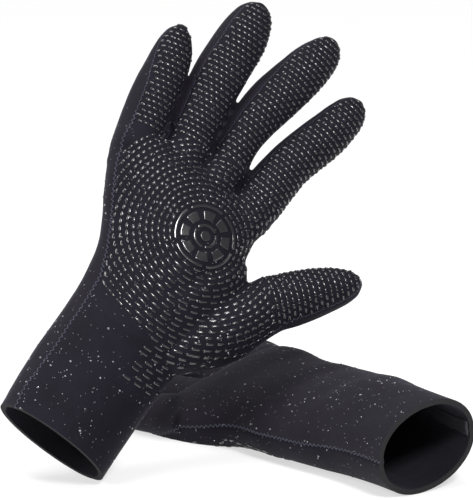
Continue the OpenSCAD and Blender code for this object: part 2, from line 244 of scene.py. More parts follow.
def thenarRings(side, f):  # from inside the palm to just past the thumb's root
    root, base, up, grow = np.array(thenar["root"][side], float), f["base"], (0, 0, 1), hand["grow"]
    shift, half, _ = [v[0] for v in fingerAt(f, np.zeros(1))]
    middle = 0.45 * root + 0.55 * base
    turn = math.atan2(*(f["along"][:2])) * thenar["follow"]
    across = (math.cos(turn), -math.sin(turn), 0)
    end, depth = base + f["across"] * shift, f["depth"] / 2
    past = base + 3 * f["along"] + f["across"] * shift
    rings = [
        ovalRing(root, (1, 0, 0), up, f["width"] * thenar["rootWidth"], thenar["rootDepth"], fingerSides),
        ovalRing(middle, across, up, f["width"] * thenar["swell"], thenar["depth"], fingerSides),
        ovalRing(end, f["across"], up, half + grow, depth + grow, fingerSides),
        ovalRing(past, f["across"], up, half, depth, fingerSides),
    ]
    rows = [np.concatenate([[s], r.ravel()]) for s, r in zip((0, 0.55, 1, 1.05), rings)]
    return [r[1:].reshape(-1, 3) for r in alongCurve(rows, np.linspace(0, 1.05, 18))]


def loft(rings, vertices, faces):
    start, n = len(vertices), len(rings[0])
    for ring in rings:
        vertices.extend(ring)
    for i in range(len(rings) - 1):
        a = start + i * n
        for k in range(n):
            b = (k + 1) % n
            faces.append((a + k, a + b, a + n + b, a + n + k))
    faces.append(tuple(start + k for k in reversed(range(n))))
    faces.append(tuple(start + (len(rings) - 1) * n + k for k in range(n)))


def meshFrom(name, vertices, faces):
    mesh = bpy.data.meshes.new(name)
    mesh.from_pydata([tuple(v) for v in vertices], [], faces)
    mesh.update()
    return mesh


def addObject(name, mesh):
    piece = bpy.data.objects.new(name, mesh)
    bpy.context.scene.collection.objects.link(piece)
    return piece


def settled(piece):  # the piece with its modifiers made part of its mesh
    bpy.context.view_layer.update()
    mesh = bpy.data.meshes.new_from_object(piece.evaluated_get(bpy.context.evaluated_depsgraph_get()))
    old = piece.data
    piece.modifiers.clear()
    piece.data = mesh
    bpy.data.meshes.remove(old)
    return piece


def shadeSmooth(piece):
    piece.data.polygons.foreach_set("use_smooth", [True] * len(piece.data.polygons))


def addVectors(piece, key, values):
    piece.data.attributes.new(key, "FLOAT_VECTOR", "POINT").data.foreach_set("vector", values.ravel())


def readVectors(mesh, key):
    values = np.empty(len(mesh.vertices) * 3)
    mesh.vertices.foreach_get(key, values)
    return values.reshape(-1, 3)


def outwards(piece):
    bm = bmesh.new()
    bm.from_mesh(piece.data)
    bmesh.ops.recalc_face_normals(bm, faces=bm.faces)
    bm.to_mesh(piece.data)
    bm.free()


def rawGlove(glove):
    vertices, faces = [], []
    loft(handRings(glove["side"]), vertices, faces)
    for f in glove["fingers"].values():
        loft(fingerRings(f), vertices, faces)
    loft(thenarRings(glove["side"], glove["fingers"]["thumb"]), vertices, faces)
    piece = addObject("rawGlove", meshFrom("rawGlove", vertices, faces))
    outwards(piece)
    remesh = piece.modifiers.new("remesh", "REMESH")
    remesh.mode = "VOXEL"
    remesh.voxel_size = fabric["voxel"]
    smooth = piece.modifiers.new("smooth", "SMOOTH")
    smooth.factor = 0.5
    smooth.iterations = fabric["smoothing"]
    return settled(piece)


# ---- where the seams run: a height field over the glove's own x and y
seams = {
    "rise": 9.4, "dip": 2.7, "tilt": 8.9, "fingerTilt": 18.6, "groove": 0.55, "grooveWidth": 1.0,
    # how much lower the seam on the little finger's side runs, by the distance from the rim
    "outerDrop": {
        "right": [(0, 2.6), (12, 3.2), (24, 1.4), (40, 0), (90, 0), (100, 1.8), (112, 3.6), (124, 4.4),
                  (172, 5.2)],
        "left": [(0, 20), (30, 18.5), (60, 17), (100, 16.5), (150, 17), (172, 15)],
    },
    # its height over each finger's middle line
    "finger": {
        "thumb": [(0, 3.3), (60, 3.3)], "index": [(0, 2), (90, 0.6)],
        "middle": [(0, 1), (12, 2), (22, 3.6), (44, 4.4), (60, 3), (76, 0.7), (95, -0.8)],
        "ring": [(0, 1.6), (16, 2.5), (70, 2.4), (97, 0.8)],
        "little": [(0, 6.2), (20, 6.1), (28, 5.4), (44, 2), (54, -0.2), (68, -0.8)],
    },
}
webSides = {"thumb": (), "index": (-1,), "middle": (-1, 1), "ring": (-1, 1), "little": (1,)}


def fingerSeamHeight(f, p):
    t, x, _ = inFinger(f, p)
    tilt = math.tan(math.radians(seams["fingerTilt"])) * (-1 if f["name"] == "thumb" else 1)
    share = np.ones(len(p))
    for webSide in webSides[f["name"]]:
        share = np.where(x * webSide > 0, smoothStep(-6, 14, t), share)
    centre = f["base"][2] + f["rise"] * np.clip(t / f["length"], 0, 1.3) ** bend["power"]
    return centre + np.interp(t, *np.array(seams["finger"][f["name"]]).T) - x * tilt * share


def seamHeight(glove, region, p):
    if region != "hand":
        return fingerSeamHeight(glove["fingers"][region], p)
    dip, tilt = math.radians(seams["dip"]), math.radians(seams["tilt"])
    plane = seams["rise"] - (p[:, 0] * math.sin(tilt) * math.cos(dip) + p[:, 1] * math.sin(dip)) / (
        math.cos(tilt) * math.cos(dip))
    fall = np.interp(p[:, 1], *np.array(seams["outerDrop"][glove["side"]]).T)
    plane = plane - fall * smoothStep(0, 28, -p[:, 0])
    total, most, mixed = np.zeros(len(p)), np.zeros(len(p)), np.zeros(len(p))
    for f in glove["fingers"].values():
        t, x, _ = inFinger(f, p)
        weight = smoothStep(-45 if f["name"] == "thumb" else -28, bend["cutAt"], t)
        weight = weight * (1 - smoothStep(0.62, 0.95, np.abs(x) / f["width"]))
        total += weight
        most = np.maximum(most, weight)
        mixed += weight * fingerSeamHeight(f, p)
    return plane * (1 - most) + most * mixed / np.maximum(total, 1e-9)


def regionOf(glove, p):  # which finger each point belongs to, or the hand
    region = np.full(len(p), "hand", dtype=object)
    best = np.full(len(p), fabric["fingerShare"])
    for name, f in glove["fingers"].items():
        t, x, z = inFinger(f, p)
        score = np.hypot(x / (2 * fingerAt(f, t)[1]), z / f["depth"])
        inside = (t > bend["cutAt"]) & (score < best)
        region[inside] = name
        best = np.where(inside, score, best)
    return region


# ---- folds and the slight unevenness of cloth over foam
cloth = {"broad": 0.55, "broadScale": 0.022, "fine": 0.13, "fineScale": 0.11}


def shapeCloth(glove, mesh):
    co, normal = readVectors(mesh, "co"), readVectors(mesh, "normal")
    region = regionOf(glove, co)
    push = np.zeros(len(co))
    shift = Vector((0, 0, 0)) if glove["side"] == "right" else Vector((37, 11, 5))
    for i, p in enumerate(co):
        v = Vector(p) + shift
        push[i] = cloth["broad"] * noise.noise(v * cloth["broadScale"])
        push[i] += cloth["fine"] * noise.noise(v * cloth["fineScale"])
    for name in ["hand", *glove["fingers"]]:
        here = region == name
        if not here.any():
            continue
        p = co[here]
        steep = np.sqrt(1 - np.clip(normal[here][:, 2], -0.98, 0.98) ** 2)
        off = (p[:, 2] - seamHeight(glove, name, p)) * steep
        push[here] -= seams["groove"] * np.exp(-(off / seams["grooveWidth"]) ** 2)
    push += foldPush(glove, co, normal, region)
    co = co + normal * push[:, None]
    mesh.vertices.foreach_set("co", co.ravel())
    mesh.update()


# creases: the points they run through in x and y, their depth and half width, and which face they are on
folds = {
    "right": [
        {"points": [(30, 168), (27, 155), (16, 132), (4, 104)], "depth": 1.5, "width": 4.0, "side": 1},
        {"points": [(-33, 66), (-5, 62), (24, 66)], "depth": 0.8, "width": 5.0, "side": 1},
    ],
    "left": [
        {"points": [(-30, 74), (0, 68), (34, 72)], "depth": 0.3, "width": 6.0, "side": -1},
    ],
}


def foldPush(glove, co, normal, region):
    push = np.zeros(len(co))
    for fold in folds[glove["side"]]:
        points = np.array(fold["points"], float)
        nearest = np.full(len(co), 1e9)
        ends = np.ones(len(co))
        total = len(points) - 1
        for k in range(total):
            a, b = points[k], points[k + 1]
            ab = b - a
            t = np.clip(((co[:, :2] - a) @ ab) / (ab @ ab), 0, 1)
            d = np.linalg.norm(co[:, :2] - a - t[:, None] * ab, axis=1)
            closer = d < nearest
            nearest = np.where(closer, d, nearest)
            along = (k + t) / total
            ends = np.where(closer, np.sin(np.pi * np.clip(along * 0.9 + 0.05, 0, 1)), ends)
        facing = smoothStep(0.1, 0.5, normal[:, 2] * fold["side"])
        dip = np.exp(-(nearest / fold["width"]) ** 2)
        dip -= 0.45 * np.exp(-((nearest - 1.9 * fold["width"]) / fold["width"]) ** 2)
        push -= fold["depth"] * dip * facing * ends * (region == "hand")
    return push


# ---- cutting the shape into panels
def faceCentres(faces):
    return np.array([f.calc_center_median() for f in faces]).reshape(-1, 3)


def divide(bm, faces, point, direction, clear=False):
    geom = set(faces)
    for f in faces:
        geom.update(f.edges)
        geom.update(f.verts)
    return bmesh.ops.bisect_plane(bm, geom=list(geom), dist=1e-5, plane_co=point, plane_no=direction,
                                  clear_inner=clear)


def cutPanels(glove, mesh):  # the hand and each finger, parted into palm side and back along the seam
    bm = bmesh.new()
    bm.from_mesh(mesh)
    divide(bm, bm.faces, (0, 0, 0), (0, 1, 0), clear=True)
    for name, f in glove["fingers"].items():
        centre = faceCentres(bm.faces)
        t, x, z = inFinger(f, centre)
        half = fingerAt(f, t)[1]
        score = np.hypot(x / (2 * half), z / f["depth"])
        near = (np.abs(t - bend["cutAt"]) < 4) & (score < fabric["fingerShare"])
        bm.faces.ensure_lookup_table()
        point = f["base"] + f["along"] * bend["cutAt"]
        divide(bm, [bm.faces[i] for i in np.flatnonzero(near)], point, f["along"])
    region = regionOf(glove, faceCentres(bm.faces))
    panels = {}
    for name in ["hand", *glove["fingers"]]:
        part = bm.copy()
        part.faces.ensure_lookup_table()
        bmesh.ops.delete(part, geom=[part.faces[i] for i in np.flatnonzero(region != name)], context="FACES")
        co = np.array([v.co for v in part.verts])
        height = seamHeight(glove, name, co)
        for v, h in zip(part.verts, height):
            v.co.z -= h
        cut = divide(part, part.faces, (0, 0, 0), (0, 0, 1))["geom_cut"]
        above = np.array([f.calc_center_median().z > 0 for f in part.faces])
        co = np.array([v.co for v in part.verts])
        height = seamHeight(glove, name, co)
        for v, h in zip(part.verts, height):
            v.co.z += h
        part.normal_update()
        part.verts.index_update()
        seamEdges = [(e.verts[0].index, e.verts[1].index) for e in cut if isinstance(e, bmesh.types.BMEdge)]
        panels[name] = {
            "co": np.array([v.co for v in part.verts]),
            "normal": np.array([v.normal for v in part.verts]),
            "faces": [tuple(v.index for v in f.verts) for f in part.faces],
            "above": above,
            "seam": seamEdges,
        }
        part.free()
    bm.free()
    return panels


def onTable(points):
    points[:, 2] = np.maximum(points[:, 2], fabric["clearance"] * mm)
    return points


def panelMesh(glove, panel, front, name):
    keep = [f for f, up in zip(panel["faces"], panel["above"]) if up == front]
    used = sorted({i for f in keep for i in f})
    index = {old: new for new, old in enumerate(used)}
    faces = [tuple(index[i] for i in f) for f in keep]
    if glove["sign"] < 0:
        faces = [tuple(reversed(f)) for f in faces]
    return meshFrom(name, onTable(toWorld(glove, panel["co"][used])), faces)


def finishPanel(piece, materials):
    for m in materials:
        piece.data.materials.append(m)
    solid = piece.modifiers.new("wall", "SOLIDIFY")
    solid.thickness = fabric["wall"] * mm
    solid.offset = -1
    solid.use_even_offset = False
    solid.use_quality_normals = True
    solid.material_offset = 1
    solid.material_offset_rim = 2
    settled(piece)
    shadeSmooth(piece)
    piece.data.set_sharp_from_angle(angle=math.radians(50))
    return piece


def attach(piece, glove, region):  # the hand is stiff and its pieces go on the hand's body; a finger's piece is only baked in place
    palm = glove["side"] + "_hand"
    if region == "hand":
        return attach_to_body(piece, palm)
    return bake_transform(piece)


# ---- materials
def newMaterial(name):
    material = bpy.data.materials.new(name)
    material.use_nodes = True
    tree = material.node_tree
    return material, tree.nodes, tree.links, tree.nodes["Principled BSDF"]


def setInputs(node, values):
    for key, value in values.items():
        node.inputs[key].default_value = value


def addNode(nodes, kind, **values):
    node = nodes.new(kind)
    for key, value in values.items():
        if key in node.bl_rna.properties:
            setattr(node, key, value)
        else:
            node.inputs[key].default_value = value
    return node


def mathNode(tree, operation, *inputs):  # each input is a number or another node's output
    node = addNode(tree.nodes, "ShaderNodeMath", operation=operation)
    for k, value in enumerate(inputs):
        if isinstance(value, bpy.types.NodeSocket):
            tree.links.new(value, node.inputs[k])
        else:
            node.inputs[k].default_value = value
    return node.outputs[0]


def ramp(nodes, low, high, ends=(0, 1)):  # from one tone to another between two places
    node = addNode(nodes, "ShaderNodeValToRGB")
    for stop, tone, place in zip(node.color_ramp.elements, (low, high), ends):
        stop.position = place
        stop.color = (*tone, 1)
    return node


def jersey(name, colour, sheen, specks=True):
    material, nodes, links, surface = newMaterial(name)
    where = addNode(nodes, "ShaderNodeTexCoord")
    knit = addNode(nodes, "ShaderNodeTexNoise", Scale=1500, Detail=2)
    patch = addNode(nodes, "ShaderNodeTexNoise", Scale=38, Detail=5, Roughness=0.65)
    for texture in (knit, patch):
        links.new(where.outputs["Object"], texture.inputs["Vector"])
    tone = ramp(nodes, [c * 0.72 for c in colour], [c * 1.3 for c in colour], (0.35, 0.68))
    links.new(patch.outputs["Fac"], tone.inputs["Fac"])
    grain = addNode(nodes, "ShaderNodeMix", data_type="RGBA", blend_type="MULTIPLY")
    grain.inputs["Factor"].default_value = 0.55
    lighten = ramp(nodes, (0.45, 0.45, 0.45), (1.5, 1.5, 1.5), (0.3, 0.7))
    links.new(knit.outputs["Fac"], lighten.inputs["Fac"])
    links.new(tone.outputs["Color"], grain.inputs[6])
    links.new(lighten.outputs["Color"], grain.inputs[7])
    colourOut = grain.outputs[2]
    # painted highlights: light grey specks mixed into the base colour stand in for glints on fine water drops
    if specks:
        cells = addNode(nodes, "ShaderNodeTexVoronoi", Scale=330)
        links.new(where.outputs["Object"], cells.inputs["Vector"])
        close = mathNode(material.node_tree, "LESS_THAN", cells.outputs["Distance"], 0.085)
        paintedGlints = addNode(nodes, "ShaderNodeMix", data_type="RGBA")
        links.new(close, paintedGlints.inputs["Factor"])
        links.new(colourOut, paintedGlints.inputs[6])
        paintedGlints.inputs[7].default_value = (0.16, 0.155, 0.17, 1)
        colourOut = paintedGlints.outputs[2]
    links.new(colourOut, surface.inputs["Base Color"])
    bump = addNode(nodes, "ShaderNodeBump", Strength=0.5, Distance=0.0002)
    links.new(knit.outputs["Fac"], bump.inputs["Height"])
    links.new(bump.outputs["Normal"], surface.inputs["Normal"])
    setInputs(surface, {
        "Roughness": 0.7, "Specular IOR Level": 0.18, "Specular Tint": (0.86, 0.82, 1, 1),
        "Sheen Weight": sheen, "Sheen Roughness": 0.45, "Sheen Tint": (0.78, 0.74, 0.95, 1)})
    return material


def rubber(name, colour, roughness, scale=900, coat=0.0, shine=0.5):
    material, nodes, links, surface = newMaterial(name)
    where = addNode(nodes, "ShaderNodeTexCoord")
    grain = addNode(nodes, "ShaderNodeTexNoise", Scale=scale, Detail=3)
    links.new(where.outputs["Object"], grain.inputs["Vector"])
    tone = ramp(nodes, [c * 0.7 for c in colour], [c * 1.35 for c in colour])
    links.new(grain.outputs["Fac"], tone.inputs["Fac"])
    links.new(tone.outputs["Color"], surface.inputs["Base Color"])
    bump = addNode(nodes, "ShaderNodeBump", Strength=0.35, Distance=0.0001)
    links.new(grain.outputs["Fac"], bump.inputs["Height"])
    links.new(bump.outputs["Normal"], surface.inputs["Normal"])
    setInputs(surface, {"Roughness": roughness, "Coat Weight": coat, "Coat Roughness": roughness * 0.7,
                        "Specular IOR Level": shine})
    return material


palmCloth = jersey("palm_jersey", (0.0035, 0.0030, 0.0060), sheen=0.03)
# the back panel's own jersey; its base colour is made lighter than the palm's as painted light, standing in
# for light falling on the back from the left
backClothWithPaintedLight = jersey("back_jersey_painted_light", (0.0066, 0.0058, 0.0084), sheen=0.08)
liningCloth = jersey("lining_jersey", (0.0088, 0.0081, 0.0108), sheen=0.1, specks=False)
foamEdge = rubber("cut_foam", (0.0062, 0.0057, 0.0072), 0.9, scale=1800)
printRubber = rubber("grip_rubber", (0.0065, 0.006, 0.0085), 0.19, coat=0.4, shine=0.8)
tapeRubber = rubber("tape_rubber", (0.030, 0.030, 0.037), 0.5)
thread = rubber("blue_thread", (0.024, 0.025, 0.047), 0.45, scale=3000)
# water drops; their milky pale base colour is a painted highlight, so each small drop shows as a bright glint
paintedGlintWater, _, _, waterSurface = newMaterial("paintedGlintWater")
setInputs(waterSurface, {"Base Color": (0.7, 0.7, 0.76, 1), "Transmission Weight": 0.7, "Roughness": 0.02,
                         "IOR": 1.33})


# ---- node trees for what repeats
def newTree(name, sizes):  # geometry in and out, and a socket for each size
    tree = bpy.data.node_groups.new(name, "GeometryNodeTree")
    tree.interface.new_socket("Geometry", in_out="INPUT", socket_type="NodeSocketGeometry")
    tree.interface.new_socket("Geometry", in_out="OUTPUT", socket_type="NodeSocketGeometry")
    for key, value in sizes.items():
        kind = "NodeSocketInt" if isinstance(value, int) else "NodeSocketFloat"
        tree.interface.new_socket(key, in_out="INPUT", socket_type=kind).default_value = value
    return tree, tree.nodes.new("NodeGroupInput"), tree.nodes.new("NodeGroupOutput")


def runTree(piece, tree, sizes, material):
    for node in tree.nodes:
        if node.bl_idname == "GeometryNodeSetMaterial":
            node.inputs["Material"].default_value = material
    modifier = piece.modifiers.new(tree.name, "NODES")
    modifier.node_group = tree
    for item in tree.interface.items_tree:
        if item.item_type == "SOCKET" and item.in_out == "INPUT" and item.name in sizes:
            modifier[item.identifier] = sizes[item.name]
    return settled(piece)


barPowers = (0.45, 0.6, 0.7)


def roundedBar(tree, group):  # a ball pushed out toward a box
    nodes, links = tree.nodes, tree.links
    ball = addNode(nodes, "GeometryNodeMeshUVSphere", Segments=10, Rings=5, Radius=1.0)
    place = addNode(nodes, "GeometryNodeInputPosition")
    split = addNode(nodes, "ShaderNodeSeparateXYZ")
    links.new(place.outputs[0], split.inputs[0])
    size = addNode(nodes, "ShaderNodeCombineXYZ")
    for k, key in enumerate(("Length", "Width", "Height")):
        sign = mathNode(tree, "SIGN", split.outputs[k])
        power = mathNode(tree, "POWER", mathNode(tree, "ABSOLUTE", split.outputs[k]), barPowers[k])
        half = mathNode(tree, "MULTIPLY", group.outputs[key], 0.5 if k < 2 else 1.0)
        links.new(mathNode(tree, "MULTIPLY", mathNode(tree, "MULTIPLY", power, sign), half), size.inputs[k])
    shape = addNode(nodes, "GeometryNodeSetPosition")
    links.new(ball.outputs["Mesh"], shape.inputs["Geometry"])
    links.new(size.outputs[0], shape.inputs["Position"])
    return shape.outputs["Geometry"]


def vectorNamed(nodes, key):
    return addNode(nodes, "GeometryNodeInputNamedAttribute", data_type="FLOAT_VECTOR", Name=key)


def turnedTo(tree, tangent, normal):
    nodes, links = tree.nodes, tree.links
    stand = addNode(nodes, "FunctionNodeAlignRotationToVector", axis="Z")
    links.new(normal, stand.inputs["Vector"])
    lie = addNode(nodes, "FunctionNodeAlignRotationToVector", axis="X", pivot_axis="Z")
    links.new(stand.outputs[0], lie.inputs["Rotation"])
    links.new(tangent, lie.inputs["Vector"])
    return lie.outputs[0]


def closeTree(tree, output, geometry):
    nodes, links = tree.nodes, tree.links
    real = addNode(nodes, "GeometryNodeRealizeInstances")
    smooth = addNode(nodes, "GeometryNodeSetShadeSmooth")
    paint = addNode(nodes, "GeometryNodeSetMaterial")
    links.new(geometry, real.inputs[0])
    links.new(real.outputs[0], smooth.inputs[0])
    links.new(smooth.outputs[0], paint.inputs[0])
    links.new(paint.outputs[0], output.inputs[0])


def barTree():  # a bar on every point
    tree, group, output = newTree("raisedBars", {"Length": 0.003, "Width": 0.0015, "Height": 0.0005})
    nodes, links = tree.nodes, tree.links
    normal = vectorNamed(nodes, "outward")
    tangent = vectorNamed(nodes, "lengthwise")
    stretch = vectorNamed(nodes, "stretch")
    place = addNode(nodes, "GeometryNodeInstanceOnPoints")
    links.new(group.outputs["Geometry"], place.inputs["Points"])
    links.new(roundedBar(tree, group), place.inputs["Instance"])
    turn = turnedTo(tree, tangent.outputs["Attribute"], normal.outputs["Attribute"])
    links.new(turn, place.inputs["Rotation"])
    links.new(stretch.outputs["Attribute"], place.inputs["Scale"])
    closeTree(tree, output, place.outputs["Instances"])
    return tree


def stitchTree():  # stitches along the seam's edges, each slanted the other way from the last
    tree, group, output = newTree("zigzagStitches", {
        "Length": 0.0015, "Width": 0.00038, "Height": 0.00026, "Pitch": 0.0009, "Slant": 0.5})
    nodes, links = tree.nodes, tree.links
    curve = addNode(nodes, "GeometryNodeMeshToCurve")
    links.new(group.outputs["Geometry"], curve.inputs["Mesh"])
    even = addNode(nodes, "GeometryNodeResampleCurve", mode="LENGTH")
    links.new(curve.outputs[0], even.inputs["Curve"])
    links.new(group.outputs["Pitch"], even.inputs["Length"])
    normal = vectorNamed(nodes, "outward")
    tangent = addNode(nodes, "GeometryNodeInputTangent")
    place = addNode(nodes, "GeometryNodeInstanceOnPoints")
    links.new(even.outputs[0], place.inputs["Points"])
    links.new(roundedBar(tree, group), place.inputs["Instance"])
    flat = turnedTo(tree, tangent.outputs[0], normal.outputs["Attribute"])
    index = addNode(nodes, "GeometryNodeInputIndex")
    swing = addNode(nodes, "ShaderNodeMapRange")
    links.new(mathNode(tree, "MODULO", index.outputs[0], 2), swing.inputs["Value"])
    links.new(group.outputs["Slant"], swing.inputs["To Min"])
    links.new(mathNode(tree, "MULTIPLY", group.outputs["Slant"], -1), swing.inputs["To Max"])
    spin = addNode(nodes, "ShaderNodeCombineXYZ")
    links.new(swing.outputs[0], spin.inputs["Z"])
    turn = addNode(nodes, "FunctionNodeRotateRotation", rotation_space="LOCAL")
    links.new(flat, turn.inputs["Rotation"])
    links.new(spin.outputs[0], turn.inputs["Rotate By"])
    links.new(turn.outputs[0], place.inputs["Rotation"])
    closeTree(tree, output, place.outputs["Instances"])
    return tree


def beadTree():  # flattened drops, mostly small
    tree, group, output = newTree("waterBeads", {
        "Density": 9000.0, "Smallest": 0.0002, "Largest": 0.00066, "Flatness": 0.6, "Seed": 4})
    nodes, links = tree.nodes, tree.links
    scatter = addNode(nodes, "GeometryNodeDistributePointsOnFaces")
    links.new(group.outputs["Geometry"], scatter.inputs["Mesh"])
    links.new(group.outputs["Density"], scatter.inputs["Density"])
    links.new(group.outputs["Seed"], scatter.inputs["Seed"])
    chance = addNode(nodes, "FunctionNodeRandomValue", data_type="FLOAT")
    links.new(group.outputs["Seed"], chance.inputs["Seed"])
    size = addNode(nodes, "ShaderNodeMapRange")
    links.new(mathNode(tree, "POWER", chance.outputs[1], 3.0), size.inputs["Value"])
    links.new(group.outputs["Smallest"], size.inputs["To Min"])
    links.new(group.outputs["Largest"], size.inputs["To Max"])
    ball = addNode(nodes, "GeometryNodeMeshIcoSphere", Radius=1.0, Subdivisions=2)
    squash = addNode(nodes, "ShaderNodeCombineXYZ", X=1.0, Y=1.0)
    links.new(group.outputs["Flatness"], squash.inputs["Z"])
    flat = addNode(nodes, "GeometryNodeTransform")
    links.new(ball.outputs["Mesh"], flat.inputs["Geometry"])
    links.new(squash.outputs[0], flat.inputs["Scale"])
    place = addNode(nodes, "GeometryNodeInstanceOnPoints")
    links.new(scatter.outputs["Points"], place.inputs["Points"])
    links.new(scatter.outputs["Rotation"], place.inputs["Rotation"])
    links.new(flat.outputs[0], place.inputs["Instance"])
    links.new(size.outputs[0], place.inputs["Scale"])
    closeTree(tree, output, place.outputs["Instances"])
    return tree


bars, stitches, beads = barTree(), stitchTree(), beadTree()
print("materials and node trees made")


# ---- the grip print
grip = {
    "pitch": 3.4, "step": 4.1, "length": 3.0, "width": 1.5, "height": 0.46, "margin": 1.3, "jitter": 0.14,
    "centre": (0.5, 143.6), "first": 20.8, "reach": 67, "thenarReach": 98, "longest": 1.9, "longSide": -84,
    "thenarSide": (8, 16), "ringTurn": 0.37, "thumbRow": -5.6, "firstRow": 2.2, "above": 70, "seed": 11,
}


def drop(tree, point, direction):
    hit, normal, _, _ = tree.ray_cast(Vector(point), Vector(direction))
    return (np.array(hit), np.array(normal)) if hit is not None else (None, None)


def palmBars(glove, tree):  # broken rings round the badge, with longer bars toward the heel
    found = []
    cx, cy = grip["centre"]
    radius, ring = grip["first"], 0
    while radius < grip["thenarReach"]:
        angle = grip["ringTurn"] * ring
        last = angle + 2 * math.pi
        while angle < last:
            facing = max(0, math.cos(angle - math.radians(grip["longSide"])))
            stretch = 1 + (grip["longest"] - 1) * facing ** 3
            turn = grip["step"] * stretch / radius
            angle += turn
            middle = angle - turn / 2
            x, y = cx + radius * math.cos(middle), cy + radius * math.sin(middle)
            onThenar = x > cx + grip["thenarSide"][0] and y < cy + grip["thenarSide"][1]
            if radius > (grip["thenarReach"] if onThenar else grip["reach"]):
                continue
            hit, normal = drop(tree, (x, y, grip["above"]), (0, 0, -1))
            if hit is not None and normal[2] > 0.12:
                found.append((hit, normal, (-math.sin(middle), math.cos(middle), 0), stretch))
        radius += grip["pitch"]
        ring += 1
    points = np.array([r[0] for r in found])
    clear = np.ones(len(points), bool)
    for f in glove["fingers"].values():
        t, x, _ = inFinger(f, points)
        clear &= ~((t > (-8 if f["name"] == "thumb" else 0.4)) & (np.abs(x) < fingerAt(f, t)[1] + 0.5))
    return [r for r, ok in zip(found, clear) if ok]


def fingerBars(f, tree):  # straight rows across the finger
    found, up = [], np.array([0, 0, 1])
    row = 0
    t = grip["thumbRow" if f["name"] == "thumb" else "firstRow"]
    while t < f["edges"][-1, 0] - 1.5:
        s = max(t / f["length"], 0)
        shift, half, deep = [v[0] for v in fingerAt(f, np.array([t]))]
        rise = up * (f["rise"] * s ** bend["power"])
        centre = f["base"] + f["along"] * t + f["across"] * shift + rise
        turn = grip["step"] / ((half + f["depth"] / 2 * deep) / 2)
        for k in range(-6, 7):
            angle = (k + 0.5 * (row % 2)) * turn
            if abs(angle) > 2:
                continue
            direction = math.cos(angle) * up + math.sin(angle) * f["across"]
            hit, normal = drop(tree, centre + direction * 24, -direction)
            if hit is None or np.dot(normal, direction) <= 0.1 or np.linalg.norm(hit - centre) >= half + 4:
                continue
            found.append((hit, normal, math.cos(angle) * f["across"] - math.sin(angle) * up, 1))
        t += grip["pitch"]
        row += 1
    return found


def pointPiece(glove, name, rows, rng):
    hits = np.array([r[0] for r in rows])
    piece = addObject(name, meshFrom(name, onTable(toWorld(glove, hits)), []))
    for key, k in (("outward", 1), ("lengthwise", 2)):
        values = np.array([r[k] for r in rows]) @ glove["axes"]
        addVectors(piece, key, values)
    draws = [[rng.uniform(-1, 1), rng.uniform(-1, 1), rng.uniform(-1, 1)] for _ in rows]
    wobble = 1 + np.array(draws) * grip["jitter"]
    wobble[:, 0] *= [r[3] for r in rows]
    addVectors(piece, "stretch", wobble)
    return piece


def printGrip(glove, tree):
    rng = random.Random(grip["seed"])
    sizes = {"Length": grip["length"] * mm, "Width": grip["width"] * mm, "Height": grip["height"] * mm}
    found = palmBars(glove, tree)
    for f in glove["fingers"].values():
        found += fingerBars(f, tree)
    points = np.array([r[0] for r in found])
    region = regionOf(glove, points)
    for name in ["hand", *glove["fingers"]]:
        clear = points[:, 2] - seamHeight(glove, name, points) > grip["margin"]
        clear &= (region == name) & (toWorld(glove, points)[:, 2] > 0.4 * mm)
        rows = [r for r, ok in zip(found, clear) if ok]
        piece = pointPiece(glove, f"{glove['side']}_{name}_print", rows, rng)
        runTree(piece, bars, sizes, printRubber)
        attach(piece, glove, name)
        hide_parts(f"{glove['side']}_palm_grip" if name == "hand" else f"{glove['side']}_{name}_grip")


# ---- the plain badge at the middle of the palm: broken rings and a dot
badge = {
    # inner and outer radius, number of parts, gap between them, and the turn of the first
    "rings": [(16.9, 18.5, 5, 0.07, 0.2), (9.6, 14.9, 8, 0.13, 0.0), (5.6, 7.2, 3, 0.12, 0.9),
              (0.0, 3.0, 1, 0.0, 0.0)],
    "height": 0.6, "sunk": 0.35, "bevel": 0.25,
}


def makeBadge(glove, tree):
    vertices, faces = [], []
    for inner, outer, parts, gap, first in badge["rings"]:
        for part in range(parts):
            start = 2 * math.pi * part / parts + gap + first
            sweep = 2 * math.pi / parts - 2 * gap
            across = max(2, round((outer - inner) / 0.8))
            around = max(10, round(sweep * outer / 1.0))
            closed = parts == 1
            corner = len(vertices)
            for i in range(around + (0 if closed else 1)):
                angle = start + sweep * i / around
                for k in range(across + 1):
                    r = max(inner, 0.05) + (outer - max(inner, 0.05)) * k / across
                    x, y = grip["centre"][0] + r * math.cos(angle), grip["centre"][1] + r * math.sin(angle)
                    hit, normal = drop(tree, (x, y, grip["above"]), (0, 0, -1))
                    vertices.append(hit - normal * badge["sunk"])
            columns = around if closed else around + 1
            for i in range(around):
                for k in range(across):
                    a, b = corner + i * (across + 1) + k, corner + ((i + 1) % columns) * (across + 1) + k
                    faces.append((a, a + 1, b + 1, b))
    name = glove["side"] + "_badge"
    if glove["sign"] < 0:
        faces = [tuple(reversed(f)) for f in faces]
    piece = addObject(name, meshFrom(name, toWorld(glove, vertices), faces))
    bm = bmesh.new()
    bm.from_mesh(piece.data)
    bmesh.ops.remove_doubles(bm, verts=bm.verts, dist=0.15 * mm)
    bm.to_mesh(piece.data)
    bm.free()
    solid = piece.modifiers.new("height", "SOLIDIFY")
    solid.thickness = (badge["height"] + badge["sunk"]) * mm
    solid.offset = 1
    rounding = piece.modifiers.new("round", "BEVEL")
    rounding.width = badge["bevel"] * mm
    rounding.segments = 2
    rounding.limit_method = "ANGLE"
    settled(piece)
    piece.data.materials.append(printRubber)
    shadeSmooth(piece)
    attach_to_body(piece, glove["side"] + "_hand")
    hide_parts(glove["side"] + "_palm_pad")


# ---- stitches along the seams, and the tape inside them
sewing = {
    "hand": {"Length": 0.0026, "Width": 0.00055, "Height": 0.0003, "Pitch": 0.0015, "Slant": 0.85},
    "finger": {"Length": 0.0017, "Width": 0.0004, "Height": 0.0002, "Pitch": 0.0015, "Slant": 0.6},
}


